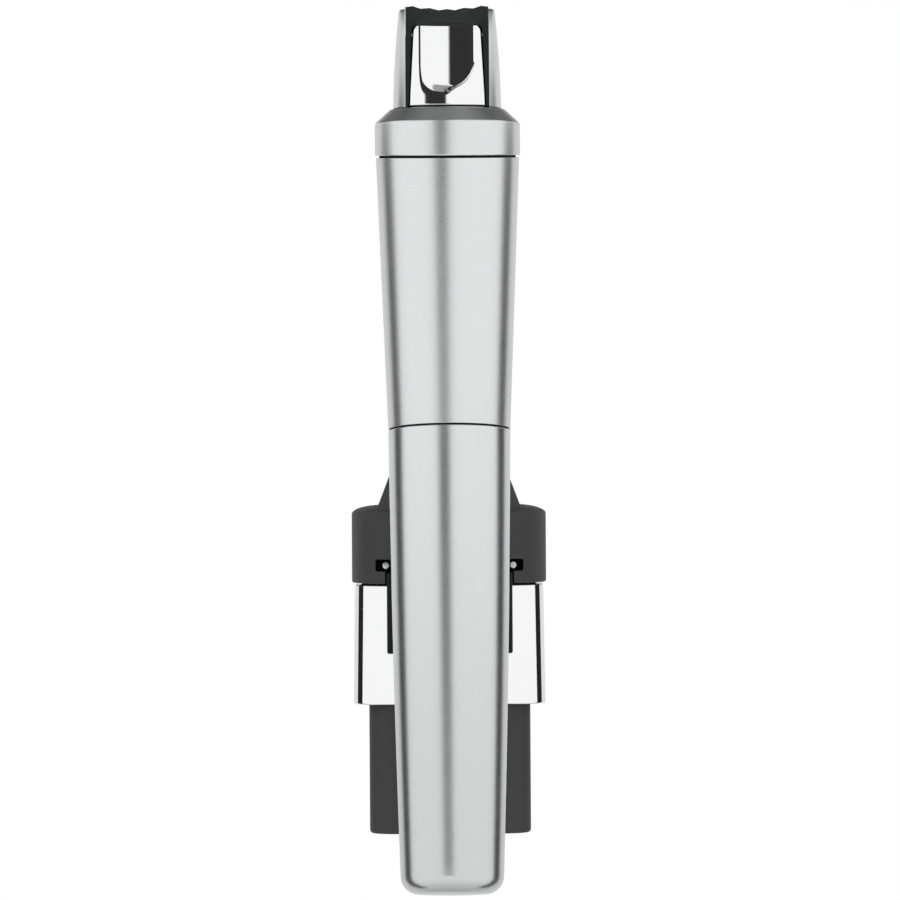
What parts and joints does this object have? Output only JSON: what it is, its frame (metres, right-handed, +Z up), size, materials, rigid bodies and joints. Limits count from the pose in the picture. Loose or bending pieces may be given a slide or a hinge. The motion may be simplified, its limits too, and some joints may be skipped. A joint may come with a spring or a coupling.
{
  "type": "wine preservation dispenser",
  "caption": "Hand-held wine dispenser with a needle, spout, thumb trigger, gas capsule handle and a sprung clamp that slides on a rail and grips a bottle neck.",
  "frame": {"origin": "where the needle's axis meets the plane of the bottle's lip inside the clamp", "axes": "+Z up along the needle, -Y towards the handle, +Y towards the spout, +X to the right seen from the handle's side"},
  "size_m": [0.053, 0.1165, 0.2354],
  "materials": {
    "silver": "satin silver lacquer with a fine metallic flake",
    "chrome": "mirror chrome plate",
    "steel": "bright drawn steel",
    "rail": "satin anodised",
    "brass": "turned",
    "dark_casting": "dark grey, fine satin grain",
    "black_plastic": "black, slightly glossy",
    "rubber": "soft matt black"
  },
  "bodies": {
    "clamp": {"clamp_cap": "dark_casting", "carriage": "black_plastic", "glide_liner": "black_plastic", "needle_guide": "black_plastic", "left_hinge_pin": "steel", "right_hinge_pin": "steel", "left_torsion_spring": "steel", "right_torsion_spring": "steel"},
    "dispenser": {"collar": "silver", "upper_sleeve": "silver", "left_cheek": "silver", "right_cheek": "silver", "front_cover": "silver", "regulator_body": "brass", "regulator_cap": "brass", "regulator_spring": "steel", "piercing_pin": "steel", "capsule_seal": "rubber", "head_frame": "black_plastic", "top_grip": "rubber", "trigger_pin": "steel", "trigger_spring": "steel", "valve_spring": "steel", "gas_tube": "steel", "valve_block": "black_plastic", "needle_hub": "steel", "needle": "steel", "spout": "steel", "spout_seal": "rubber", "slide_rail": "rail", "rail_screw_upper": "steel", "rail_screw_lower": "steel", "rail_stop": "black_plastic", "stop_screw": "steel"},
    "left_jaw": {"left_arm": "dark_casting", "left_lever_cover": "chrome", "left_neck_pad": "rubber"},
    "right_jaw": {"right_arm": "dark_casting", "right_lever_cover": "chrome", "right_neck_pad": "rubber"},
    "trigger": {"trigger": "chrome"},
    "valve_stem": {"valve_stem": "steel"},
    "regulator_piston": {"regulator_piston": "brass"},
    "gas_capsule": {"gas_capsule": "steel"},
    "capsule_cup": {"capsule_cup": "silver"}
  },
  "joints": [
    {"name": "body_slide", "type": "slide", "parent": "clamp", "child": "dispenser", "axis": [0, 0, 1], "range_m": [-0.068, 0]},
    {"name": "left_jaw_swing", "type": "hinge", "parent": "clamp", "child": "left_jaw", "pos_m": [-0.0171, 0, -0.0039], "axis": [0, 1, 0], "range_deg": [0, 4], "stiffness_Nm_per_rad": 0.5, "springref_deg": -11.46},
    {"name": "right_jaw_swing", "type": "hinge", "parent": "clamp", "child": "right_jaw", "pos_m": [0.0171, 0, -0.0039], "axis": [0, -1, 0], "range_deg": [0, 4], "stiffness_Nm_per_rad": 0.5, "springref_deg": -11.46},
    {"name": "trigger_press", "type": "hinge", "parent": "dispenser", "child": "trigger", "pos_m": [0, -0.0585, 0.1376], "axis": [1, 0, 0], "range_deg": [0, 7], "stiffness_Nm_per_rad": 0.3, "springref_deg": -8.59},
    {"name": "valve_push", "type": "slide", "parent": "dispenser", "child": "valve_stem", "axis": [0, 1, 0], "range_m": [0, 0.0014]},
    {"name": "piston_lift", "type": "slide", "parent": "dispenser", "child": "regulator_piston", "axis": [0, 0.1045, 0.9945], "range_m": [0, 0.0005], "stiffness_N_per_m": 2000, "springref_m": -0.001},
    {"name": "cup_draw", "type": "slide", "parent": "dispenser", "child": "gas_capsule", "axis": [0, 0.1045, 0.9945], "range_m": [-0.036, 0]},
    {"name": "cup_turn", "type": "hinge", "parent": "gas_capsule", "child": "capsule_cup", "pos_m": [0, -0.07247, -0.08933], "axis": [0, 0.1045, 0.9945], "continuous": true}
  ],
  "couplings": [
    {"joint": "valve_push", "follows": "trigger_press", "m_per_rad": 0.0106}
  ]
}
